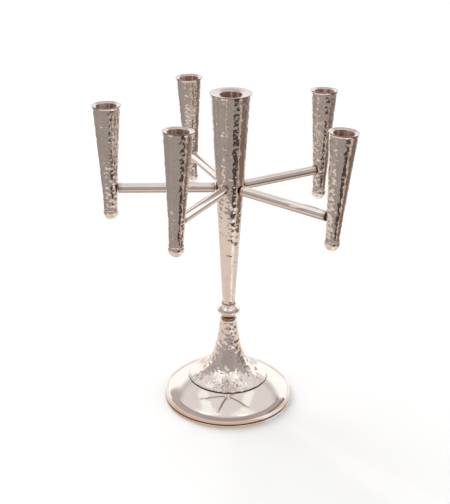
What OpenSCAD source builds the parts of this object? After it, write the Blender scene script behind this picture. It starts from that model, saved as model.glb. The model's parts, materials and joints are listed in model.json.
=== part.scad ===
// Six-light menorah: a hammered conical stem on a domed foot, with five straight arms that each carry a hammered
// conical candle cup, and the sixth light in the top of the stem.
// Millimetres, +Z up, origin at the middle of the foot's underside. -Y is the front, +X the right.

/* [Foot] */
// Outer diameter of the foot ring that the object stands on
foot_ring_d = 151.6; // [149:0.1:156]
// Height of the foot ring
foot_ring_h = 2.9; // [2:0.1:4]
// Width of the foot ring, across the wire
foot_ring_w = 3.6; // [3:0.1:6]
// Outer diameter of the dish
dish_d = 150.6; // [149:0.1:151]
// Height of the upright edge of the dish, above the groove
dish_rim_h = 1.6; // [1.4:0.1:3]
// Height of the dark groove between the foot ring and the dish's rim
groove_h = 0.7; // [0.4:0.1:1.2]
// Diameter of the flat crown that the bell stands on
crown_d = 94.4; // [92:0.2:96]
// Height of the crown above the ground
crown_z = 28.4; // [20:0.1:32]
// Diameter at which the dome begins to roll over into the upright edge
shoulder_d = 139; // [136:0.2:142]
// Height at which the dome begins to roll over
shoulder_z = 16; // [14:0.1:18]
// How far the dome bulges out from a straight cone, above the shoulder
dome_bulge = 0.9; // [0.5:0.1:1.5]
// How far the rolled shoulder bulges out
shoulder_bulge = 1.4; // [1:0.1:2]
// Thickness of the dish's sheet
dish_t = 1.2; // [0.8:0.1:2]

/* [Bell, collar and knop] */
// Diameter of the bell's rim
bell_rim_d = 93; // [90:0.2:94]
// Height of the top of the bell's edge above the ground
bell_rim_z = 30.4; // [30:0.1:31]
// Thickness of the bell's edge
bell_edge_h = 0.8; // [0.5:0.1:1]
// Width of the dark recess under the bell's edge
bell_recess = 2; // [1:0.1:2.5]
// Height of the bell's flat top
bell_top_z = 103.2; // [95:0.1:110]
// Diameter of the bell at its flat top
bell_top_d = 20.1; // [18:0.1:24]
// Thickness of the bell's sheet
bell_t = 1.3; // [0.8:0.1:2]
// How sharply the trumpet flares: the height that its outer curve tends to
flare_z = 6.9; // [0:0.1:12]
// Diameter of the plain collar between the bell and the knop
collar_d = 16.4; // [14:0.1:18]
// Height of the collar
collar_h = 2.9; // [2:0.1:5]
// Diameter of the knop
knop_d = 26.2; // [22:0.1:30]
// Half the height of the knop's full ball, before its top and bottom are cut flat
knop_half_h = 8.6; // [7:0.1:10]
// Height of the top of the knop, where the stem stands
knop_top_z = 124; // [122:0.1:126]

/* [Stem] */
// Diameter of the stem's lower end
stem_foot_d = 14.7; // [14:0.1:18]
// Diameter of the stem's upper end, under the nozzle's lip
stem_mouth_d = 44.6; // [40:0.1:46]
// Height of the centre nozzle's lip: the height of the whole object
overall_h = 373; // [365:0.5:385]
// Thickness of the stem's wall
stem_t = 1.1; // [0.8:0.1:1.4]

/* [Arms] */
// Distance from the stem's axis to each cup's axis, along the arm
arm_reach = 133; // [110:0.5:150]
// Height at which the five arm axes meet
arm_z = 265.7; // [250:0.1:280]
// Outer diameter of the arm tubes
arm_d = 11.2; // [9:0.1:12]
// Wall of the arm tubes
arm_t = 0.9; // [0.6:0.1:1.5]
// Diameter of the rods inside the arms
arm_rod_d = 6; // [4:0.1:7]
// Bearing of each arm as it was set by hand, anticlockwise from the right: left, front left, and so on round
arm_bearings = [181.5, 246.5, 325.8, 37.1, 111.2]; // each within 5 of 180 + 72 a step
// How far each arm rises (+) or droops (-) in degrees, with its cup square to it
arm_pitches = [-0.5, 2.5, -2.8, -2, -0.5]; // each [-4:0.1:4]
// How far each cup leans sideways, as its arm is turned on its own axis, in degrees
arm_twists = [0.5, -0.5, -1, -1.3, -1.1]; // each [-3:0.1:3]

/* [Cups] */
// Diameter of a cup's upper end, under the nozzle's lip
cup_mouth_d = 31.2; // [29:0.1:33]
// Diameter of a cup's lower end
cup_foot_d = 15.7; // [14:0.1:18]
// Length of a cup's hammered body
cup_h = 117.2; // [100:0.1:125]
// Height of the nozzle's lip above the arm's axis
cup_lip_above_arm = 94.5; // [90:0.1:96]
// How far the cup's outline is hollowed: 1 is a straight cone
cup_flare = 1.15; // [1:0.05:1.3]
// Thickness of the cup's wall
cup_t = 0.9; // [0.7:0.1:1]
// Diameter of the finial
finial_d = 16.7; // [15:0.1:18]
// Height of the finial below the cup
finial_h = 13.1; // [11:0.1:15]

/* [Candle nozzles] */
// Bore of the five arm nozzles, for a 22.2 mm candle
arm_bore_d = 22.5; // [22.3:0.1:22.6]
// Diameter of the five arm nozzles' lips
arm_lip_d = 32.3; // [31:0.1:34]
// Bore of the centre nozzle, for a 24.6 mm candle
centre_bore_d = 24.9; // [24.7:0.1:25.1]
// Diameter of the centre nozzle's lip
centre_lip_d = 47.1; // [46:0.1:48]
// Depth of every candle bore
bore_depth = 25; // [20:0.5:28]
// Wall of the sockets
socket_t = 0.7; // [0.5:0.1:0.8]
// How far the centre rim slopes down to its bore
centre_rim_drop = 2; // [1:0.1:2.5]
// How far the arm rims slope down to their bores
arm_rim_drop = 1.3; // [0.8:0.1:1.8]

/* [Hidden] */
SIDES = ["left", "front_left", "front_right", "rear_right", "rear_left"];
ARM_PIECES = ["arm", "arm_rod", "cup", "cup_core", "finial", "nozzle"];
$fn = 96;

polished = "gainsboro";
hammered = "silver";
inner_metal = "darkgoldenrod";
steel = "dimgray";

play = 0.05;              // clearance of pieces that screw or slide together
end_gap = 0.2;            // from the end of a rod or stud to the end of its hole
cut = 1;                  // how far a cutting shape runs past the face that it cuts
rod_d = 6;                // tie rod
rod_pass_r = rod_d / 2 + 0.3;       // holes that the tie rod passes through freely
arm_rod_pass_d = arm_rod_d + 0.4;   // holes that an arm's rod passes through freely
arm_rod_from = 6.6;       // distances from the stem's axis at which an arm's rod begins
arm_rod_hole_from = 6.2;  // and at which its hole in the hub begins
hem_w = 5;                // width of the dish's hem, which rests on the foot ring
bell_kick_power = 12;     // how closely the bell's kick keeps to its rim
bell_foot_w = 1.6;        // width of the bell's foot, inside the recess
bell_top_t = 3;           // thickness of the bell's flat top
lip_t = 0.6;              // edge of a nozzle's lip
rim_t = 0.9;              // sheet of a nozzle's sloping rim
lip_seat = 1.15;          // from a nozzle's lip down to the wall that it rests on
washer_d = 44;
washer_t = 2;
nut_across_corners = 11.5;
nut_h = 5;
curve_steps = 12;

foot_ring_r = foot_ring_d / 2;
dish_r = dish_d / 2;
crown_r = crown_d / 2;
shoulder_r = shoulder_d / 2;
rim_bottom_z = foot_ring_h + groove_h;
rim_top_z = rim_bottom_z + dish_rim_h;
crown_under_z = crown_z - dish_t;
collar_top_z = bell_top_z + collar_h;
stem_bottom_z = knop_top_z;
stem_top_z = overall_h - lip_seat;
hub_bottom_z = arm_z - 13;
hub_top_z = arm_z + 11;
rod_top_z = hub_bottom_z + 7;
cup_top = cup_lip_above_arm - lip_seat;
cup_bottom = cup_top - cup_h;
cup_core_top = cup_bottom + 32;
finial_top = cup_bottom - play;
finial_stud_d = 5;
finial_stud_h = 9;

// Points of an arc from a to b that bulges to the left of the way from a to b by sag.
function arc(a, b, sag, steps = curve_steps) =
    let (chord = norm(b - a))
    let (radius = (chord * chord / 4 + sag * sag) / (2 * sag))
    let (half = asin(chord / 2 / radius))
    let (along = (b - a) / chord)
    let (out = [-along[1], along[0]])
    let (centre = (a + b) / 2 - out * (radius - sag))
    [for (i = [0 : steps])
        let (t = -half + 2 * half * i / steps)
        centre + radius * (out * cos(t) + along * sin(t))];

// Radius of the bell's outside at height z: a hyperbola that kicks out near the rim.
bell_k = bell_top_d / 2 * (bell_top_z - flare_z);
bell_kick = bell_rim_d / 2 - bell_k / (bell_rim_z - flare_z);
function bell_r(z) =
    let (share = (bell_top_z - z) / (bell_top_z - bell_rim_z))
    bell_k / (z - flare_z) + bell_kick * pow(share, bell_kick_power);

// Radius of the stem's outside at height z.
function stem_r(z) =
    let (share = (z - stem_bottom_z) / (stem_top_z - stem_bottom_z))
    (stem_foot_d + (stem_mouth_d - stem_foot_d) * share) / 2;

// Radius of a cup's outside at height h above its arm's axis.
function cup_r(h) =
    let (share = max(0, (h - cup_bottom) / cup_h))
    (cup_foot_d + (cup_mouth_d - cup_foot_d) * pow(share, cup_flare)) / 2;

// A turned piece: its half outline, as [radius, height] points, spun about Z.
module turned(points) {
    rotate_extrude()
        polygon(points);
}

// Puts an arm's pieces in place: its axis along +X from the stem's axis, its cup along +Z.
module on_arm(i) {
    translate([0, 0, arm_z])
        rotate([0, 0, arm_bearings[i]])
            rotate([0, -arm_pitches[i], 0])
                rotate([arm_twists[i], 0, 0])
                    children();
}

module on_cup(i) {
    on_arm(i)
        translate([arm_reach, 0, 0])
            children();
}

// A rod or hole along an arm, from one distance from the stem's axis to another.
module along_arm(from, to, d) {
    translate([from, 0, 0])
        rotate([0, 90, 0])
            cylinder(d = d, h = to - from);
}

// ---- foot ----

module foot_ring() {
    groove_depth = 1.5;
    edge = 0.9;
    edge_bulge = 0.35;
    neck_r = foot_ring_r - groove_depth;
    inner_r = foot_ring_r - foot_ring_w;
    color(polished)
        turned(concat(
            [[inner_r, 0]],
            arc([foot_ring_r - edge, 0], [foot_ring_r, foot_ring_h / 2], -edge_bulge, 4),
            arc([foot_ring_r, foot_ring_h / 2], [foot_ring_r - edge, foot_ring_h], -edge_bulge, 4),
            [[neck_r, foot_ring_h], [neck_r, rim_bottom_z], [inner_r, rim_bottom_z]]
        ));
}

module foot_dish() {
    hem_r = dish_r - hem_w;
    hem_top_z = rim_bottom_z + dish_t;
    inner_shoulder = [shoulder_r, shoulder_z] - dish_t * [0.6, 0.8];
    color(polished)
        turned(concat(
            [[rod_pass_r, crown_z]],
            arc([crown_r, crown_z], [shoulder_r, shoulder_z], dome_bulge, 6),
            arc([shoulder_r, shoulder_z], [dish_r, rim_top_z], shoulder_bulge),
            [[dish_r, rim_bottom_z], [hem_r, rim_bottom_z], [hem_r, hem_top_z]],
            arc([dish_r - dish_t, hem_top_z], inner_shoulder, -shoulder_bulge, 4),
            [[crown_r - 0.4, crown_under_z]],
            [[rod_pass_r, crown_under_z]]
        ));
}

module foot_washer() {
    color(steel)
        translate([0, 0, crown_under_z - washer_t])
            difference() {
                cylinder(d = washer_d, h = washer_t);
                translate([0, 0, -cut])
                    cylinder(d = rod_d + 0.4, h = washer_t + 2 * cut);
            }
}

module foot_nut() {
    color(inner_metal)
        translate([0, 0, crown_under_z - washer_t - nut_h])
            difference() {
                cylinder(d = nut_across_corners, h = nut_h, $fn = 6);
                translate([0, 0, -cut])
                    cylinder(d = rod_d + 2 * play, h = nut_h + 2 * cut);
            }
}

module tie_rod() {
    rod_bottom_z = crown_under_z - washer_t - nut_h - 4;
    color(steel)
        translate([0, 0, rod_bottom_z])
            cylinder(d = rod_d, h = rod_top_z - rod_bottom_z);
}

// ---- bell, collar and knop ----

module bell() {
    // Heights closer together towards the rim, where the trumpet turns outwards.
    heights = [for (i = [0 : 16])
        bell_top_z - (bell_top_z - bell_rim_z) * pow(i / 16, 0.75)];
    inner_heights = [for (i = [15 : -1 : 1])
        heights[i]];
    rim_r = bell_rim_d / 2;
    color(hammered)
        turned(concat(
            [[rod_pass_r, bell_top_z]],
            [for (z = heights) [bell_r(z), z]],
            [[rim_r, bell_rim_z - bell_edge_h], [rim_r - bell_recess, bell_rim_z - bell_edge_h]],
            [[rim_r - bell_recess, crown_z + play], [rim_r - bell_recess - bell_foot_w, crown_z + play]],
            [for (z = inner_heights) [bell_r(z) - bell_t, z - bell_t * 0.7]],
            [[bell_r(bell_top_z) - bell_t, bell_top_z - bell_top_t], [rod_pass_r, bell_top_z - bell_top_t]]
        ));
}

module neck_collar() {
    color(polished)
        translate([0, 0, bell_top_z])
            difference() {
                cylinder(d = collar_d, h = collar_h);
                translate([0, 0, -cut])
                    cylinder(r = rod_pass_r, h = collar_h + 2 * cut);
            }
}

module knop() {
    low_angle = -71;
    high_angle = 52;
    steps = 18;
    centre_z = collar_top_z + knop_half_h * 0.95;
    ball_end = centre_z + knop_half_h * sin(high_angle);
    waist_r = stem_foot_d / 2 + 0.5;
    color(polished)
        turned(concat(
            [[rod_pass_r, collar_top_z]],
            [for (i = [0 : steps])
                let (t = low_angle + (high_angle - low_angle) * i / steps)
                [knop_d / 2 * cos(t), max(collar_top_z, centre_z + knop_half_h * sin(t))]],
            arc([knop_d / 2 * cos(high_angle), ball_end], [waist_r, knop_top_z - 0.4], -0.3, 4),
            [[waist_r, knop_top_z], [rod_pass_r, knop_top_z]]
        ));
}

// ---- stem and hub ----

module stem() {
    floor_t = 4;
    hole_from = 8;
    hole_to = 24;
    bottom_in_r = stem_r(stem_bottom_z + floor_t) - stem_t;
    color(hammered)
        difference() {
            turned([
                [rod_pass_r, stem_bottom_z],
                [stem_foot_d / 2, stem_bottom_z],
                [stem_mouth_d / 2, stem_top_z],
                [stem_mouth_d / 2 - stem_t, stem_top_z],
                [bottom_in_r, stem_bottom_z + floor_t],
                [rod_pass_r, stem_bottom_z + floor_t]
            ]);
            for (i = [0 : len(SIDES) - 1])
                on_arm(i)
                    along_arm(hole_from, hole_to, arm_rod_pass_d);
        }
}

module arm_hub() {
    seat = stem_t + play;
    hole_to = 24;
    color(inner_metal)
        difference() {
            translate([0, 0, hub_bottom_z])
                cylinder(
                    r1 = stem_r(hub_bottom_z) - seat,
                    r2 = stem_r(hub_top_z) - seat,
                    h = hub_top_z - hub_bottom_z
                );
            translate([0, 0, hub_bottom_z - cut])
                cylinder(d = rod_d + 2 * play, h = rod_top_z - hub_bottom_z + cut + end_gap);
            for (i = [0 : len(SIDES) - 1])
                on_arm(i)
                    along_arm(arm_rod_hole_from, hole_to, arm_rod_d + 2 * play);
        }
}

// ---- candle nozzles ----

// A lift-out nozzle whose lip is at height 0: a sloping rim and a closed socket below it.
module nozzle(bore_d, lip_d, drop) {
    bore_r = bore_d / 2;
    out_r = bore_r + socket_t;
    floor_z = -drop - bore_depth;
    bottom_z = floor_z - 1;
    color(polished)
        turned([
            [0, bottom_z],
            [out_r, bottom_z],
            [out_r, -drop - rim_t],
            [lip_d / 2, -lip_t],
            [lip_d / 2, 0],
            [bore_r, -drop],
            [bore_r, floor_z],
            [0, floor_z]
        ]);
}

module centre_nozzle() {
    translate([0, 0, overall_h])
        nozzle(centre_bore_d, centre_lip_d, centre_rim_drop);
}

module arm_nozzle(i) {
    on_cup(i)
        translate([0, 0, cup_lip_above_arm])
            nozzle(arm_bore_d, arm_lip_d, arm_rim_drop);
}

// ---- arms and cups ----

module arm(i) {
    // The flat ends just clear the stem's and the cup's widening cones.
    from = stem_r(arm_z + arm_d / 2) + 0.25;
    to = arm_reach - cup_r(arm_d / 2) - 0.15;
    color(polished)
        on_arm(i)
            difference() {
                along_arm(from, to, arm_d);
                along_arm(from - cut, to + cut, arm_d - 2 * arm_t);
            }
}

module arm_rod(i) {
    color(steel)
        on_arm(i)
            along_arm(arm_rod_from, arm_reach - 1, arm_rod_d);
}

module cup(i) {
    steps = 8;
    hole_end = cup_foot_d;
    color(hammered)
        on_cup(i)
            difference() {
                turned(concat(
                    [for (k = [0 : steps])
                        let (h = cup_bottom + cup_h * k / steps)
                        [cup_r(h), h]],
                    [for (k = [steps : -1 : 0])
                        let (h = cup_bottom + cup_h * k / steps)
                        [cup_r(h) - cup_t, h]]
                ));
                along_arm(-hole_end, 0, arm_rod_pass_d);
            }
}

module cup_core(i) {
    steps = 3;
    core_h = cup_core_top - cup_bottom;
    color(inner_metal)
        on_cup(i)
            difference() {
                turned(concat(
                    [[0, cup_bottom]],
                    [for (k = [0 : steps])
                        let (h = cup_bottom + core_h * k / steps)
                        [cup_r(h) - cup_t - play, h]],
                    [[0, cup_core_top]]
                ));
                along_arm(-cup_foot_d, 0, arm_rod_d + 2 * play);
                translate([0, 0, cup_bottom - cut])
                    cylinder(d = finial_stud_d + 2 * play, h = finial_stud_h + cut + end_gap);
            }
}

module finial(i) {
    shoulder = 3.6;
    equator = finial_top - shoulder;
    tip = finial_top - finial_h;
    top_r = cup_foot_d / 2 - 0.35;
    color(polished)
        on_cup(i)
            turned(concat(
                [[0, finial_top + finial_stud_h], [finial_stud_d / 2, finial_top + finial_stud_h]],
                [[finial_stud_d / 2, finial_top], [top_r - 0.4, finial_top], [top_r, finial_top - 0.6]],
                arc([top_r, finial_top - 0.6], [finial_d / 2, equator], 0.35, 4),
                [for (k = [1 : 12])
                    let (t = 90 * k / 12)
                    [finial_d / 2 * cos(t), equator - (equator - tip) * sin(t)]]
            ));
}

// ---- what is drawn ----

foot_ring();
foot_dish();
foot_washer();
foot_nut();
tie_rod();
bell();
neck_collar();
knop();
stem();
arm_hub();
centre_nozzle();
for (i = [0 : len(SIDES) - 1]) {
    arm(i);
    arm_rod(i);
    cup(i);
    cup_core(i);
    finial(i);
    arm_nozzle(i);
}
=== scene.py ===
import json
import math

import bpy
import numpy as np
from mathutils import Matrix, Vector


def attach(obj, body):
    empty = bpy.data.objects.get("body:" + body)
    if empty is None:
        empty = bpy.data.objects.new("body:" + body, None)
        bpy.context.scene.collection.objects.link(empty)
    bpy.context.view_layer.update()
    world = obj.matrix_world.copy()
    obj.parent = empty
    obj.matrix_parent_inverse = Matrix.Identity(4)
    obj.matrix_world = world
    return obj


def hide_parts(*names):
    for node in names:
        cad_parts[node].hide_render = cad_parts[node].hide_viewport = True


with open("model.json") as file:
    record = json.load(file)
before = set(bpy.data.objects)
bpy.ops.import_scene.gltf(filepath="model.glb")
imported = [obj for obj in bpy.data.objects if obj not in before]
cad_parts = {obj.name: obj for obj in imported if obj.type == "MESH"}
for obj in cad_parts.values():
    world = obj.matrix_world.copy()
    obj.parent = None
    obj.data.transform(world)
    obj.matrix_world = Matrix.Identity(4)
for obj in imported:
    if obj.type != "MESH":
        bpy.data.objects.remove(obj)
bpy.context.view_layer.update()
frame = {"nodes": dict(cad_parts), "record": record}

MM = 0.001
SIDES = ["left", "front_left", "front_right", "rear_right", "rear_left"]
MOUNTS = {m["name"]: m for m in frame["record"]["mounts"]}
SLOTS = {s["node"]: s["material_slot"] for s in frame["record"]["subparts"]}

# ---------------------------------------------------------------- sizes, in millimetres

FOOT_RING_R, FOOT_RING_H, FOOT_RING_W = 75.8, 2.9, 3.6
FOOT_RING_EDGE, FOOT_RING_BULGE, GROOVE_DEPTH = 0.9, 0.35, 1.5
RIM_BOTTOM_Z, RIM_TOP_Z, DISH_R, DISH_T, HEM_W = 3.6, 5.2, 75.3, 1.2, 5.0
SHOULDER_R, SHOULDER_Z, SHOULDER_BULGE = 69.5, 16.0, 1.4
CROWN_R, CROWN_Z, DOME_BULGE = 47.2, 28.4, 0.9
ROD_HOLE_R, PLAY = 3.3, 0.05
BELL_RIM_R, BELL_RIM_Z, BELL_TOP_R, BELL_TOP_Z = 46.5, 30.4, 10.05, 103.2
BELL_T, BELL_TOP_T, BELL_EDGE_H, BELL_RECESS, BELL_FOOT_W = 1.3, 2.5, 0.8, 2.0, 1.6
FLARE_Z, BELL_KICK_POWER = 6.9, 12
COLLAR_R, COLLAR_H = 8.2, 2.9
COLLAR_TOP_Z = BELL_TOP_Z + COLLAR_H
KNOP_R, KNOP_HALF_H, KNOP_TOP_Z = 13.1, 8.6, 124.0
STEM_FOOT_R, STEM_MOUTH_R, STEM_TOP_Z, STEM_T = 7.35, 22.3, 371.85, 1.1
ARM_Z, ARM_REACH, ARM_R, ARM_T = 265.7, 133.0, 5.6, 0.9
ARM_STEM_GAP, ARM_CUP_GAP = 0.25, 0.15
CUP_MOUTH_R, CUP_FOOT_R, CUP_H, CUP_TOP, CUP_FLARE, CUP_T = 15.6, 7.85, 117.2, 93.35, 1.15, 0.9
CUP_BOTTOM = CUP_TOP - CUP_H
LIP_ABOVE_ARM = 94.5
FINIAL_R, FINIAL_H, FINIAL_SHOULDER = 8.35, 13.1, 3.6
CENTRE_BORE_R, CENTRE_LIP_R, CENTRE_RIM_DROP = 12.45, 23.55, 2.0
ARM_BORE_R, ARM_LIP_R, ARM_RIM_DROP = 11.25, 16.145, 1.3
BORE_DEPTH, SOCKET_T, SOCKET_FLOOR_T, LIP_T, RIM_T = 25.0, 0.7, 1.0, 0.6, 0.9
NEAR_AXIS = 0.01  # the radius at which a lathe outline ends on its axis


def bell_r(z):
    trumpet = BELL_TOP_R * (BELL_TOP_Z - FLARE_Z)
    kick = BELL_RIM_R - trumpet / (BELL_RIM_Z - FLARE_Z)
    share = (BELL_TOP_Z - z) / (BELL_TOP_Z - BELL_RIM_Z)
    return trumpet / (z - FLARE_Z) + kick * share**BELL_KICK_POWER


def stem_r(z):
    share = (z - KNOP_TOP_Z) / (STEM_TOP_Z - KNOP_TOP_Z)
    return STEM_FOOT_R + (STEM_MOUTH_R - STEM_FOOT_R) * share


def cup_r(h):
    share = max(0.0, (h - CUP_BOTTOM) / CUP_H)
    return CUP_FOOT_R + (CUP_MOUTH_R - CUP_FOOT_R) * share**CUP_FLARE


# ---------------------------------------------------------------- shader helpers


class Nodes:
    """A small builder for the nodes of one material or of the world."""

    def __init__(self, tree):
        self.tree = tree

    def add(self, kind, **values):
        node = self.tree.nodes.new(kind)
        for key, value in values.items():
            setattr(node, key, value)
        return node

    def link(self, a, b):
        self.tree.links.new(a, b)

    def fill(self, socket, value):
        """Sets an input to a number or a colour, or links it to an output."""
        if isinstance(value, (int, float)):
            socket.default_value = value
        elif isinstance(value, tuple):
            socket.default_value = (*value, 1.0)
        else:
            self.link(value, socket)

    def noise(self, vector, scale, detail=2.0, roughness=0.5):
        node = self.add("ShaderNodeTexNoise")
        node.inputs["Scale"].default_value = scale
        node.inputs["Detail"].default_value = detail
        node.inputs["Roughness"].default_value = roughness
        self.link(vector, node.inputs["Vector"])
        return node.outputs["Fac"]

    def ramp(self, fac, *stops):
        """A colour ramp whose stops are (place, grey) or (place, colour)."""
        node = self.add("ShaderNodeValToRGB")
        elements = node.color_ramp.elements
        while len(elements) < len(stops):
            elements.new(0.5)
        for element, (place, value) in zip(elements, stops):
            element.position = place
            rgb = value if isinstance(value, tuple) else (value, value, value)
            element.color = (*rgb, 1.0)
        self.link(fac, node.inputs["Fac"])
        return node.outputs["Color"]

    def mix(self, fac, a, b):
        node = self.add("ShaderNodeMix", data_type="RGBA")
        self.fill(node.inputs[0], fac)
        self.fill(node.inputs[6], a)
        self.fill(node.inputs[7], b)
        return node.outputs[2]

    def math(self, operation, a, b=0.0):
        node = self.add("ShaderNodeMath", operation=operation)
        self.fill(node.inputs[0], a)
        self.fill(node.inputs[1], b)
        return node.outputs[0]

    def split(self, vector):
        node = self.add("ShaderNodeSeparateXYZ")
        self.link(vector, node.inputs[0])
        return node.outputs


class MaterialNodes(Nodes):
    """The nodes of a new material, whose Principled shader is its surface unless emit replaces it."""

    def __init__(self, name):
        self.material = bpy.data.materials.new(name)
        self.material.use_nodes = True
        super().__init__(self.material.node_tree)
        self.shader = self.tree.nodes["Principled BSDF"]
        self.coords = self.add("ShaderNodeTexCoord").outputs["Object"]

    def stretched(self, scale):
        node = self.add("ShaderNodeMapping")
        node.inputs["Scale"].default_value = scale
        self.link(self.coords, node.inputs["Vector"])
        return node.outputs["Vector"]

    def attribute(self, name):
        return self.add("ShaderNodeAttribute", attribute_name=name).outputs["Fac"]

    def bump(self, height, distance):
        node = self.add("ShaderNodeBump")
        node.inputs["Strength"].default_value = 1.0
        node.inputs["Distance"].default_value = distance
        self.link(height, node.inputs["Height"])
        self.link(node.outputs["Normal"], self.shader.inputs["Normal"])

    def emit(self, colour):
        node = self.add("ShaderNodeEmission")
        self.fill(node.inputs["Color"], colour)
        self.link(node.outputs[0], self.tree.nodes["Material Output"].inputs["Surface"])


# ---------------------------------------------------------------- metals

# painted shade in creases and gaps: brown, and black where it is deepest
BROWN_SHADE, BLACK_SHADE = (0.27, 0.13, 0.075), (0.035, 0.022, 0.016)
# a bore's dull tarnished wall, and the bright colour of its painted highlight streaks
DULL_WALL, HIGHLIGHT_WALL = (0.40, 0.27, 0.225), (0.86, 0.68, 0.60)


def silver(name, tint, tarnish, rough, wear, scratch):
    """Silver plate: cloudy tarnish, wipe marks in the gloss, and scratches around the piece's axis.
    Two attributes of the mesh change it: one paints shade, brown to black, into creases, gaps and undersides,
    and lining is the dull tarnished wall of a bore, with streaks of painted highlight."""
    n = MaterialNodes(name)
    film = n.ramp(n.noise(n.coords, 38.0, 5.0, 0.55), (0.38, 0.0), (0.72, wear))
    base = n.mix(film, tint, tarnish)
    # painted shade: creases, gaps and undersides turn brown, then black
    painted_shade = n.attribute("painted_shade")
    base = n.mix(n.ramp(painted_shade, (0.0, 0.0), (0.55, 1.0)), base, BROWN_SHADE)
    base = n.mix(n.ramp(painted_shade, (0.5, 0.0), (0.9, 1.0)), base, BLACK_SHADE)
    lining = n.attribute("lining")
    # painted highlights: vertical bright streaks on a bore's wall
    highlight_streaks = n.ramp(n.noise(n.stretched((1.0, 1.0, 0.06)), 230.0), (0.42, 0.0), (0.60, 1.0))
    base = n.mix(lining, base, n.mix(highlight_streaks, DULL_WALL, HIGHLIGHT_WALL))
    n.link(base, n.shader.inputs["Base Color"])
    metallic = n.math("SUBTRACT", 1.0, n.math("MULTIPLY", lining, 0.45))
    n.link(metallic, n.shader.inputs["Metallic"])
    wipes = n.noise(n.stretched((1.0, 1.0, 22.0)), 9.0, 4.0, 0.6)
    smudges = n.noise(n.coords, 55.0, 3.0, 0.55)
    wipe_depth, smudge_depth = 0.05, 0.04
    gloss = n.math("MULTIPLY", wipes, wipe_depth)
    gloss = n.math("ADD", gloss, n.math("MULTIPLY", smudges, smudge_depth))
    gloss = n.math("ADD", gloss, rough - (wipe_depth + smudge_depth) / 2)
    gloss = n.math("ADD", gloss, n.math("MULTIPLY", painted_shade, 0.35))
    gloss = n.math("ADD", gloss, n.math("MULTIPLY", lining, 0.15))
    n.link(gloss, n.shader.inputs["Roughness"])
    n.bump(n.noise(n.stretched((1.0, 1.0, 9.0)), 420.0), scratch * MM)
    return n.material


def plain_metal(name, dark, light, rough, grain):
    """Unplated metal: stained between two colours, with turning or drawing marks along its grain."""
    n = MaterialNodes(name)
    stain = n.ramp(n.noise(n.coords, 60.0, 5.0, 0.55), (0.3, 0.0), (0.7, 1.0))
    n.link(n.mix(stain, dark, light), n.shader.inputs["Base Color"])
    n.shader.inputs["Metallic"].default_value = 1.0
    lines = n.noise(n.stretched(grain), 30.0, 3.0, 0.6)
    gloss = n.math("ADD", n.math("MULTIPLY", lines, 0.25), rough - 0.12)
    n.link(gloss, n.shader.inputs["Roughness"])
    n.bump(lines, 0.05 * MM)
    return n.material


POLISHED = silver("polished_silver_plate", (0.93, 0.885, 0.835), (0.84, 0.74, 0.64), 0.07, 0.35, 0.004)
HAMMERED = silver("hammered_silver_plate", (0.93, 0.885, 0.83), (0.80, 0.70, 0.62), 0.10, 0.45, 0.006)
BRASS = plain_metal("turned_brass", (0.45, 0.30, 0.10), (0.72, 0.54, 0.24), 0.28, (1.0, 1.0, 14.0))
STEEL = plain_metal("zinc_steel", (0.34, 0.33, 0.30), (0.62, 0.61, 0.58), 0.34, (1.0, 1.0, 10.0))
FINISHES = {"bare_brass": BRASS, "zinc_steel": STEEL, "hammered_silver": HAMMERED}

for name, node in frame["nodes"].items():
    node.data.materials.clear()
    node.data.materials.append(FINISHES.get(SLOTS.get(name), POLISHED))

# ---------------------------------------------------------------- outlines


def arc(a, b, sag, steps=24):
    """Points from a to b on an arc that bulges to the left of the way from a to b by sag."""
    a, b = np.array(a, float), np.array(b, float)
    chord = np.linalg.norm(b - a)
    radius = (chord**2 / 4 + sag**2) / (2 * sag)
    half = math.asin(chord / 2 / radius)
    along = (b - a) / chord
    out = np.array([-along[1], along[0]])
    centre = (a + b) / 2 - out * (radius - sag)
    turns = np.linspace(-half, half, steps + 1)
    return [tuple(centre + radius * (out * math.cos(t) + along * math.sin(t))) for t in turns]


def rounded(points, radius, steps=4):
    """The same outline with each corner sharper than 25 degrees turned into a small curve."""
    made = [points[0]]
    for before, corner, after in zip(points, points[1:], points[2:]):
        p, c, q = (np.array(x, float) for x in (before, corner, after))
        u, v = p - c, q - c
        lu, lv = np.linalg.norm(u), np.linalg.norm(v)
        u, v = u / lu, v / lv
        turn = math.pi - math.acos(max(-1.0, min(1.0, float(u @ v))))
        if turn < math.radians(25):
            made.append(corner)
            continue
        reach = min(radius * math.tan(turn / 2), 0.45 * lu, 0.45 * lv)
        start, end = c + u * reach, c + v * reach
        for s in np.linspace(0, 1, steps + 1):
            made.append(tuple((1 - s) ** 2 * start + 2 * s * (1 - s) * c + s**2 * end))
    made.append(points[-1])
    return made


# ---------------------------------------------------------------- meshes


def build(name, verts, faces, material, nodes, body, attributes):
    """A smooth-shaded object that rides on a body and replaces CAD nodes. verts are in millimetres."""
    mesh = bpy.data.meshes.new(name)
    mesh.vertices.add(len(verts))
    mesh.vertices.foreach_set("co", (np.asarray(verts, float) * MM).ravel())
    starts = np.arange(len(faces), dtype=np.int32) * 4
    mesh.loops.add(len(faces) * 4)
    mesh.polygons.add(len(faces))
    mesh.loops.foreach_set("vertex_index", np.asarray(faces, np.int32).ravel())
    mesh.polygons.foreach_set("loop_start", starts)
    mesh.update(calc_edges=True)
    mesh.validate()
    mesh.polygons.foreach_set("use_smooth", np.ones(len(mesh.polygons), bool))
    for key, values in attributes.items():
        layer = mesh.attributes.new(key, "FLOAT", "POINT")
        layer.data.foreach_set("value", np.asarray(values, np.float32))
    mesh.set_sharp_from_angle(angle=math.radians(38))
    mesh.materials.append(material)
    obj = bpy.data.objects.new(name, mesh)
    bpy.context.scene.collection.objects.link(obj)
    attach(obj, body)
    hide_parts(*nodes)
    return obj


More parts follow.
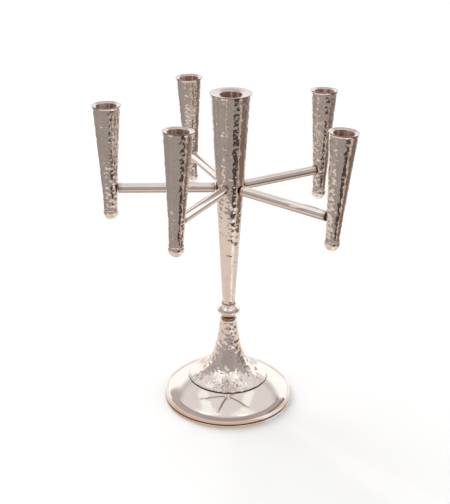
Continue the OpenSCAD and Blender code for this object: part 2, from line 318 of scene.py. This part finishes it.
def spun_faces(rows, around, closed):
    """Quads between rows of vertices that go once around. closed joins the last row to the first."""
    i = np.arange(rows if closed else rows - 1)[:, None] * around
    above = (i + around) % (rows * around)
    j = np.arange(around)[None, :]
    k = (j + 1) % around
    return np.stack([i + j, above + j, above + k, i + k], -1).reshape(-1, 4)


def spun(radii, heights, turns):
    """Vertices at each height, once around. radii holds one row of radii for each height."""
    rise = heights[:, None] + 0 * radii
    return np.stack([radii * np.cos(turns), radii * np.sin(turns), rise], -1).reshape(-1, 3)


def once_around(count):
    return np.linspace(0, 2 * math.pi, count, endpoint=False)


def moved(points, place):
    if place is None:
        return points
    m = np.array(place)
    return points @ m[:3, :3].T + m[:3, 3]


def turned(name, outline, nodes, place=None, body="stand", around=224, dark=(), below=0.0, lined=0.0):
    """A lathe mesh from an outline of (radius, height) points, closed where it ends at its start.
    dark lists (radius, height, reach, level): painted shade darkens the mesh within reach of that ring, up to
    that level.
    below is painted shade on the side away from the piece's own X. Walls inside the radius lined are dull,
    with painted highlight streaks."""
    outline = np.array(outline, float)
    closed = np.allclose(outline[0], outline[-1])
    r, z = (outline[:-1] if closed else outline).T
    turns = once_around(around)
    crease_shade = np.zeros(len(r))
    for dark_r, dark_z, reach, level in dark:
        near = 1 - np.hypot(r - dark_r, z - dark_z) / reach
        crease_shade = np.maximum(crease_shade, level * np.clip(1.3 * near, 0, 1))
    # painted shade on the side away from the piece's own X
    underside_shade = below * np.clip(-np.cos(turns) * 1.6 - 0.3, 0, 1)
    attributes = {
        "painted_shade": np.maximum(crease_shade[:, None], underside_shade[None, :]).ravel(),
        "lining": np.repeat((r < lined).astype(float), around),
    }
    verts = spun(r[:, None] + 0 * turns, z, turns)
    faces = spun_faces(len(r), around, closed)
    return build(name, moved(verts, place), faces, POLISHED, nodes, body, attributes)


def dented(heights, radii, around, pitch, slope, seed):
    """How far hammer blows push the surface in, in mm, at each height and turn: overlapping shallow hollows.
    Blows are pitch apart round a row, rows are a fifth closer, and slope is a hollow's slope at its edge."""
    rng = np.random.default_rng(seed)
    along = np.concatenate([[0], np.cumsum(np.hypot(np.diff(heights), np.diff(radii)))])
    turns = once_around(around)
    depth = np.zeros((len(heights), around))
    for row, s in enumerate(np.arange(-0.5 * pitch, along[-1] + pitch, 0.8 * pitch)):
        r = float(np.interp(s, along, radii))
        count = max(5, round(2 * math.pi * r / pitch))
        for k in range(count):
            where = s + rng.normal(0, 0.20) * pitch
            turn = (k + 0.5 * (row % 2) + rng.normal(0, 0.20)) * 2 * math.pi / count
            half = pitch * rng.uniform(0.72, 1.02)
            edge = slope * rng.uniform(0.6, 1.25)
            deep = half * edge / 2
            lean = rng.normal(0, 0.25) * edge
            near = np.abs(along - where) < half * 1.4
            if not near.any():
                continue
            up = (along[near] - where)[:, None] * rng.uniform(0.75, 1.0)
            side = (np.remainder(turns - turn + math.pi, 2 * math.pi) - math.pi) * radii[near][:, None]
            hollow = -deep + (up**2 + side**2) / (2 * half / edge) + lean * up
            depth[near] = np.minimum(depth[near], hollow)
    return depth


def softened(field):
    """The field with each value blended with its neighbours, round the rows and between them."""
    field = (np.roll(field, 1, 1) + 2 * field + np.roll(field, -1, 1)) / 4
    padded = np.concatenate([field[:1], field, field[-1:]])
    return (padded[:-2] + 2 * padded[1:-1] + padded[2:]) / 4


def swell(heights, around, size, seed):
    """A slow unevenness of the sheet, between 0 and -size mm."""
    rng = np.random.default_rng(seed)
    turns = once_around(around)[None, :]
    field = np.zeros((len(heights), around))
    for _ in range(14):
        waves = rng.integers(1, 7)
        length = rng.uniform(7, 40)
        field += np.sin(waves * turns + heights[:, None] * 2 * math.pi / length + rng.uniform(0, 6.3))
    return (field / (2 * np.abs(field).max()) - 0.5) * size


def hammered(
    name, nodes, heights, radius, wall, around, pitch, slope, seed,
    place=None, uneven=0.35, calm=3.0, growth=0.0,
):
    """A hammered shell: dented outside, an inside wall, and closed lips. Dents fade out over calm mm at both
    ends, and deepen by growth towards the foot."""
    heights = np.asarray(heights, float)
    radii = np.array([radius(z) for z in heights])
    turns = once_around(around)
    depth = softened(dented(heights, radii, around, pitch, slope, seed))
    from_top = (heights[-1] - heights) / (heights[-1] - heights[0])
    depth = depth * (1 + growth * from_top)[:, None] ** 2
    depth = depth + swell(heights, around, uneven, seed + 100)
    ends = np.minimum(np.abs(heights - heights[0]), np.abs(heights - heights[-1]))
    depth = depth * np.clip(ends / calm, 0, 1)[:, None]
    inner_z = heights[::-16]
    if inner_z[-1] != heights[0]:
        inner_z = np.append(inner_z, heights[0])
    inner_r = np.array([radius(z) - wall for z in inner_z])[:, None] + 0 * turns
    skin = spun(radii[:, None] + depth, heights, turns)
    lining = spun(inner_r, inner_z, turns)
    # the rows go up the outside and down the inside, so their quads face outwards when turned round
    faces = spun_faces(len(heights) + len(inner_z), around, True)[:, ::-1]
    # the inside wall is lined: dull, with painted highlight streaks
    attributes = {"lining": np.concatenate([np.zeros(len(skin)), np.ones(len(lining))])}
    verts = moved(np.concatenate([skin, lining]), place)
    return build(name, verts, faces, HAMMERED, nodes, "stand", attributes)


# ---------------------------------------------------------------- foot


def foot_ring():
    inner_r, flat_r = FOOT_RING_R - FOOT_RING_W, FOOT_RING_R - FOOT_RING_EDGE
    groove_r, half_h = FOOT_RING_R - GROOVE_DEPTH, FOOT_RING_H / 2
    ring = (
        [(inner_r, 0.0)]
        + arc((flat_r, 0), (FOOT_RING_R, half_h), -FOOT_RING_BULGE, 6)
        + arc((FOOT_RING_R, half_h), (flat_r, FOOT_RING_H), -FOOT_RING_BULGE, 6)[1:]
        + [(groove_r, FOOT_RING_H), (groove_r, RIM_BOTTOM_Z), (inner_r, RIM_BOTTOM_Z), (inner_r, 0.0)]
    )
    # painted shade in the groove between the ring and the dish's hem
    groove_shade = (groove_r, (FOOT_RING_H + RIM_BOTTOM_Z) / 2, 1.4, 1.0)
    turned("foot_ring_turned", rounded(ring, 0.15), ["foot_ring"], around=320, dark=[groove_shade])


def foot_dish():
    hem_r, hem_top_z = DISH_R - HEM_W, RIM_BOTTOM_Z + DISH_T
    dome = arc((CROWN_R, CROWN_Z), (SHOULDER_R, SHOULDER_Z), DOME_BULGE, 36)
    roll = arc((SHOULDER_R, SHOULDER_Z), (DISH_R, RIM_TOP_Z), SHOULDER_BULGE, 32)
    hem = [roll[-1], (DISH_R, RIM_BOTTOM_Z), (hem_r, RIM_BOTTOM_Z), (hem_r, hem_top_z)]
    inner_shoulder = (SHOULDER_R - 0.6 * DISH_T, SHOULDER_Z - 0.8 * DISH_T)
    under_z = CROWN_Z - DISH_T
    # the crown's second and third points keep the painted shade under the bell from spreading
    dish = (
        [(ROD_HOLE_R, CROWN_Z), (BELL_RIM_R - 3.0, CROWN_Z), (CROWN_R - 0.3, CROWN_Z)]
        + dome
        + roll[1:]
        + rounded(hem, 0.15)[1:]
        + arc((DISH_R - DISH_T, hem_top_z), inner_shoulder, -SHOULDER_BULGE, 12)
        + [(CROWN_R - 0.4, under_z), (ROD_HOLE_R, under_z), (ROD_HOLE_R, CROWN_Z)]
    )
    # painted shade under the dish's hem and round the bell's foot
    hem_shade = (DISH_R - 0.2, RIM_BOTTOM_Z - 0.2, 1.0, 1.0)
    under_bell_shade = (BELL_RIM_R - 1.6, CROWN_Z, 2.2, 0.72)
    turned("foot_dish_spun", dish, ["foot_dish"], around=360, dark=[hem_shade, under_bell_shade])


foot_ring()
foot_dish()

# ---------------------------------------------------------------- bell, collar, knop, stem


def bell():
    climb = [BELL_RIM_Z + (BELL_TOP_Z - BELL_RIM_Z) * s**1.45 for s in np.linspace(0, 1, 190)]
    edge_z = BELL_RIM_Z - BELL_EDGE_H
    recess_r = BELL_RIM_R - BELL_RECESS
    hammered(
        "bell_hammered", ["bell"], [edge_z] + climb, lambda z: bell_r(max(z, BELL_RIM_Z)), BELL_T,
        around=420, pitch=4.8, slope=0.20, seed=11, uneven=0.3, calm=1.5, growth=0.35,
    )
    edge = [(BELL_RIM_R - 0.6, edge_z), (recess_r, edge_z)]
    foot = [(recess_r, CROWN_Z), (recess_r - BELL_FOOT_W, CROWN_Z)]
    # painted shade in the gap where the bell's foot meets the dish
    turned("bell_foot", edge + foot, [], dark=[(recess_r, CROWN_Z, 3.0, 0.66)])
    top_z = BELL_TOP_Z - 0.02
    top = [(ROD_HOLE_R, BELL_TOP_Z - BELL_TOP_T), (ROD_HOLE_R, top_z), (BELL_TOP_R - 0.2, top_z)]
    turned("bell_top", top, [])


def neck_collar():
    low_z, top_z = BELL_TOP_Z, COLLAR_TOP_Z
    outline = [(ROD_HOLE_R, low_z), (COLLAR_R, low_z), (COLLAR_R, top_z), (ROD_HOLE_R, top_z)]
    # painted shade where the collar meets the bell and the knop
    crease_shade = [(COLLAR_R, low_z, 2.0, 0.36), (COLLAR_R, top_z, 0.8, 0.55)]
    turned("neck_collar_turned", rounded(outline, 0.25), ["neck_collar"], dark=crease_shade)


def knop():
    seat_z = COLLAR_TOP_Z
    middle_z = seat_z + KNOP_HALF_H * 0.95
    waist = STEM_FOOT_R + 0.5
    ball = [
        (KNOP_R * math.cos(t), max(seat_z, middle_z + KNOP_HALF_H * math.sin(t)))
        for t in np.radians(np.linspace(-71, 52, 60))
    ]
    neck = arc(ball[-1], (waist, KNOP_TOP_Z - 0.4), -0.3, 8)
    outline = [(ROD_HOLE_R, seat_z)] + ball + neck[1:] + [(waist, KNOP_TOP_Z), (ROD_HOLE_R, KNOP_TOP_Z)]
    # painted shade at the knop's waist and where it sits on the collar
    crease_shade = [(waist, KNOP_TOP_Z, 0.7, 0.55), (ball[0][0], seat_z, 0.7, 0.8)]
    turned("knop_turned", outline, ["knop"], dark=crease_shade)


bell()
neck_collar()
knop()
hammered(
    "stem_hammered", ["stem"], np.linspace(KNOP_TOP_Z, STEM_TOP_Z, 410), stem_r, STEM_T,
    around=226, pitch=3.7, slope=0.17, seed=5,
)

# ---------------------------------------------------------------- nozzles, arms, cups, finials


def frame_of(axis, origin, towards):
    """Z along axis, X as near to towards as that allows, at origin in mm."""
    z = Vector(axis).normalized()
    x = (Vector(towards) - z * z.dot(Vector(towards))).normalized()
    m = Matrix((x, z.cross(x), z)).transposed().to_4x4()
    m.translation = Vector(origin)
    return m


def lip_of(mount, drop):
    """The middle of a nozzle's lip, above the middle of the bore that the mount states."""
    return Vector(mount["pos_m"]) / MM + Vector(mount["axis"]).normalized() * (BORE_DEPTH / 2 + drop)


def nozzle(side, place, bore_r, lip_r, drop):
    """A sloping rim with a closed socket below it. The lip is at height 0 of place. The wall's points close
    to its corners keep its painted shade from spreading."""
    out_r, floor_z, neck_z = bore_r + SOCKET_T, -drop - BORE_DEPTH, -drop - RIM_T
    bottom_z = floor_z - SOCKET_FLOOR_T
    wall = [
        (out_r, bottom_z), (out_r, floor_z + 1), (out_r, neck_z - 2), (out_r, neck_z), (lip_r, -LIP_T),
        (lip_r, 0), (bore_r, -drop), (bore_r, floor_z + 2), (bore_r, floor_z),
    ]
    turned(
        side + "_nozzle_turned",
        [(NEAR_AXIS, bottom_z)] + rounded(wall, 0.16) + [(NEAR_AXIS, floor_z), (NEAR_AXIS, bottom_z)],
        [side + "_nozzle"],
        place=place,
        body=side + "_nozzle_insert",
        around=160,
        # painted shade at the bore's floor, under the lip and at the socket's neck
        dark=[(bore_r, floor_z, 0.65, 0.6), (out_r, neck_z, 1.3, 0.6), (lip_r, -LIP_T, 0.8, 0.5)],
        lined=bore_r + 0.05,
    )


def finial(side, place):
    top, top_r = CUP_BOTTOM - PLAY, CUP_FOOT_R - 0.35
    equator, tip = top - FINIAL_SHOULDER, top - FINIAL_H
    shoulder = arc((top_r, top - 0.6), (FINIAL_R, equator), 0.35, 8)
    drop = [
        (FINIAL_R * math.cos(t), equator - (equator - tip) * math.sin(t))
        for t in np.radians(np.linspace(4, 89.9, 28))
    ]
    outline = [(NEAR_AXIS, top), (top_r - 0.4, top)] + shoulder + drop
    # painted shade in the gap under the cup's foot
    crease_shade = [(top_r, top, 1.0, 0.75)]
    turned(side + "_finial_turned", outline, [side + "_finial"], place=place, around=128, dark=crease_shade)


def arm(side, place):
    """A tube along Z of place, from just clear of the stem to just clear of the cup."""
    start = stem_r(ARM_Z + ARM_R) + ARM_STEM_GAP
    end = ARM_REACH - cup_r(ARM_R) - ARM_CUP_GAP
    inner_r = ARM_R - ARM_T
    outline = (
        [(inner_r, end), (inner_r, start), (ARM_R, start)]
        + [(ARM_R, s) for s in np.linspace(start + 1, end - 1, 24)]
        + [(ARM_R, end), (inner_r, end)]
    )
    turned(
        side + "_arm_drawn", rounded(outline, 0.12), [side + "_arm"], place=place, around=96,
        # painted shade at both ends, where the arm meets the stem and the cup, and on its underside
        dark=[(ARM_R, start, 1.4, 0.6), (ARM_R, end, 1.4, 0.6)], below=0.45,
    )


centre = MOUNTS["centre_candle_socket"]
centre_place = Matrix.Translation(lip_of(centre, CENTRE_RIM_DROP))
nozzle("centre", centre_place, CENTRE_BORE_R, CENTRE_LIP_R, CENTRE_RIM_DROP)

crossing = Vector((0, 0, ARM_Z))
for i, side in enumerate(SIDES):
    mount = MOUNTS[side + "_candle_socket"]
    up = Vector(mount["axis"]).normalized()
    lip = lip_of(mount, ARM_RIM_DROP)
    foot_of_cup = lip - up * LIP_ABOVE_ARM
    out = (foot_of_cup - crossing).normalized()
    cup_place = frame_of(up, foot_of_cup, out)
    nozzle(side, frame_of(up, lip, out), ARM_BORE_R, ARM_LIP_R, ARM_RIM_DROP)
    hammered(
        side + "_cup_hammered", [side + "_cup"], np.linspace(CUP_BOTTOM, CUP_TOP, 200), cup_r, CUP_T,
        around=184, pitch=3.3, slope=0.23, seed=31 + i, place=cup_place, calm=2.0,
    )
    finial(side, cup_place)
    arm(side, frame_of(out, crossing, up))

# ---------------------------------------------------------------- stage, in metres


def stage_face(name, corners):
    mesh = bpy.data.meshes.new(name)
    mesh.from_pydata(corners, [], [tuple(range(len(corners)))])
    obj = bpy.data.objects.new(name, mesh)
    bpy.context.scene.collection.objects.link(obj)
    return obj


def mirrored(name, corners, colour=None):
    """A glowing face that only the silver's reflections show, a painted reflection of the room, in one colour
    unless its material gets one later.
    """
    obj = stage_face(name, corners)
    obj.visible_camera = obj.visible_diffuse = obj.visible_shadow = False
    shine = MaterialNodes(name)
    if colour is not None:
        shine.emit(colour)
    obj.data.materials.append(shine.material)
    return shine


def upright(name, a, b, low, high, colour):
    """A mirrored wall over the line on the ground from a to b, between two heights."""
    mirrored(name, [(*a, low), (*b, low), (*b, high), (*a, high)], colour)


def on_table(points, height):
    return [(px, py, height) for px, py in points]


floor = stage_face("floor", [(-6, -6, 0), (6, -6, 0), (6, 6, 0), (-6, 6, 0)])
floor.visible_glossy = False
paper = MaterialNodes("floor")
paper.shader.inputs["Base Color"].default_value = (0.90, 0.895, 0.89, 1)
paper.shader.inputs["Roughness"].default_value = 0.9
floor.data.materials.append(paper.material)

# the table top is warm where the object shades it, cream in front and white towards the backdrop
table_edge = [
    (-0.52, -0.435), (0.08, -0.435), (0.14, -0.38), (0.40, -0.30), (0.44, 0.62), (1.6, 1.4), (1.6, 2.6),
    (-1.6, 2.6), (-1.6, 1.4), (-0.42, 0.62), (-0.52, 0.45),
]
table = mirrored("table_mirrored", on_table(table_edge, -0.0005))
away = table.add("ShaderNodeVectorMath", operation="LENGTH")
table.link(table.coords, away.inputs[0])
distance = away.outputs["Value"]
back = table.split(table.coords)["Y"]
SHADED, HALF_SHADED, CREAM = (0.64, 0.475, 0.375), (0.76, 0.585, 0.475), (0.75, 0.645, 0.58)
shade = table.ramp(distance, (0.080, SHADED), (0.15, HALF_SHADED), (0.34, CREAM))
behind_foot = table.ramp(table.math("ADD", back, 0.5), (0.46, 0.0), (0.53, 1.0))
close = table.math("MULTIPLY", table.ramp(distance, (0.15, 1.0), (0.26, 0.0)), behind_foot)
backdrop = table.math("MAXIMUM", close, table.ramp(back, (0.45, 0.0), (0.95, 1.0)))
table.emit(table.mix(backdrop, shade, (1.0, 1.0, 1.0)))

gleam = [(0.045, -0.060), (0.17, -0.36), (0.38, -0.20), (0.073, -0.030)]
glint = [(0.058, -0.064), (0.225, -0.29), (0.28, -0.26), (0.066, -0.055)]
mirrored("table_gleam", on_table(gleam, 0), (0.86, 0.80, 0.775))
mirrored("table_glint", on_table(glint, 0.0005), (1.02, 0.98, 0.95))

# dark and tan things that stand beyond the table, to the right
stand_a, stand_b, wall_b, chest_b = (0.35, -0.99), (0.87, -0.59), (0.95, -0.33), (0.90, 0.45)
upright("dark_stand", stand_a, stand_b, -1.2, -0.05, (0.075, 0.055, 0.052))
upright("tan_wall", stand_b, wall_b, -1.2, -0.05, (0.60, 0.46, 0.38))
upright("brown_chest", wall_b, chest_b, -1.2, 0.06, (0.20, 0.14, 0.115))
upright("wall_shade", wall_b, chest_b, 0.06, 0.26, (0.30, 0.265, 0.26))

# ---------------------------------------------------------------- world: what the silver mirrors

world = bpy.data.worlds.new("studio")
bpy.context.scene.world = world
world.use_nodes = True
world.node_tree.nodes.clear()
w = Nodes(world.node_tree)
direction = w.add("ShaderNodeTexCoord").outputs["Generated"]
x, y, z = w.split(direction)


def step(value, low, high):
    """0 below low and 1 above high, with a smooth way between."""
    node = w.add("ShaderNodeMapRange", interpolation_type="SMOOTHSTEP")
    node.inputs["From Min"].default_value = low
    node.inputs["From Max"].default_value = high
    w.link(value, node.inputs["Value"])
    return node.outputs["Result"]


def band(value, low, high, soft):
    """1 where value lies between low and high, with soft edges."""
    above_high = step(value, high - soft, high + soft)
    return w.math("MULTIPLY", step(value, low - soft, low + soft), w.math("SUBTRACT", 1.0, above_high))


def glow(azimuth, elevation, width, colour, below):
    """Blends a soft patch of colour over what is below it, round a direction. Azimuth 0 is the front."""
    a, e = math.radians(azimuth), math.radians(elevation)
    node = w.add("ShaderNodeVectorMath", operation="DOT_PRODUCT")
    w.link(direction, node.inputs[0])
    node.inputs[1].default_value = (math.sin(a) * math.cos(e), -math.cos(a) * math.cos(e), math.sin(e))
    outside, inside = math.cos(math.radians(width * 1.25)), math.cos(math.radians(width * 0.6))
    return w.mix(step(node.outputs["Value"], outside, inside), below, colour)


# grey walls with a pale ceiling, and a floor in two greys
sideways = w.math("ABSOLUTE", x)
walls = w.mix(step(sideways, 0.5, 0.85), (0.375, 0.33, 0.326), (0.46, 0.395, 0.40))
sky = w.mix(step(z, 0.48, 0.70), walls, (0.77, 0.73, 0.735))
clouds = w.noise(direction, 3.5)
ground = w.mix(step(clouds, 0.38, 0.62), (0.310, 0.283, 0.252), (0.368, 0.322, 0.312))
sky = w.mix(step(z, -0.25, 0.02), ground, sky)

# a white backdrop behind the object, and the dark edge of the ceiling on both sides
behind = w.math("MULTIPLY", step(y, 0.36, 0.54), band(z, -0.10, 0.525, 0.10))
sky = w.mix(behind, sky, w.mix(step(sideways, 0.05, 0.40), (1.04, 1.03, 1.06), (1.15, 1.12, 1.12)))
ceiling_edge = w.math("MULTIPLY", band(y, -0.5, 0.45, 0.08), band(z, 0.52, 0.565, 0.008))
sky = w.mix(w.math("MULTIPLY", ceiling_edge, 0.75), sky, (0.10, 0.075, 0.065))

# a grey patch behind on the left, two broad lights in front, two long lamps overhead and two small lamps
sky = glow(-121, 22, 15, (0.50, 0.43, 0.41), sky)
sky = glow(-50, 56, 17, (1.02, 0.99, 0.97), sky)
sky = glow(42, 58, 16, (1.0, 0.98, 0.95), sky)
overhead = step(z, 0.78, 0.86)
for low, high in ((-0.46, -0.29), (0.25, 0.39)):
    sky = w.mix(w.math("MULTIPLY", overhead, band(x, low, high, 0.03)), sky, (1.0, 0.99, 0.98))
sky = glow(-50, 48, 8, (1.35, 1.33, 1.32), sky)
sky = glow(34, 48, 8, (1.30, 1.28, 1.27), sky)

path = w.add("ShaderNodeLightPath")
shown = w.mix(path.outputs["Is Glossy Ray"], (0.78, 0.78, 0.78), sky)
shown = w.mix(path.outputs["Is Camera Ray"], shown, (1.0, 1.0, 1.0))
background = w.add("ShaderNodeBackground")
w.link(shown, background.inputs["Color"])
w.link(background.outputs[0], w.add("ShaderNodeOutputWorld").inputs["Surface"])

# ---------------------------------------------------------------- light and camera

key_data = bpy.data.lights.new("key_light", "SUN")
key_data.energy = 1.65
key_data.angle = math.radians(45)
key = bpy.data.objects.new("key_light", key_data)
bpy.context.scene.collection.objects.link(key)
key.rotation_euler = Vector((0.42, -0.60, -0.85)).to_track_quat("-Z", "Y").to_euler()
key.visible_glossy = False

camera_data = bpy.data.cameras.new("camera")
camera_data.lens = 73.643
camera_data.sensor_width = 36.0
camera = bpy.data.objects.new("camera", camera_data)
bpy.context.scene.collection.objects.link(camera)
bpy.context.scene.camera = camera
pitch, yaw, roll = math.radians(23.473), math.radians(-0.256), math.radians(0.532)
forward = Vector((math.sin(yaw) * math.cos(pitch), math.cos(yaw) * math.cos(pitch), -math.sin(pitch)))
level = Vector((math.cos(yaw), -math.sin(yaw), 0))
above = level.cross(forward)
right_way = level * math.cos(roll) + above * math.sin(roll)
up_way = above * math.cos(roll) - level * math.sin(roll)
turn = Matrix((right_way, up_way, -forward)).transposed()
camera.matrix_world = Matrix.Translation((0, -1.07827, 0.65548)) @ turn.to_4x4()

bpy.context.scene.view_settings.view_transform = "Standard"
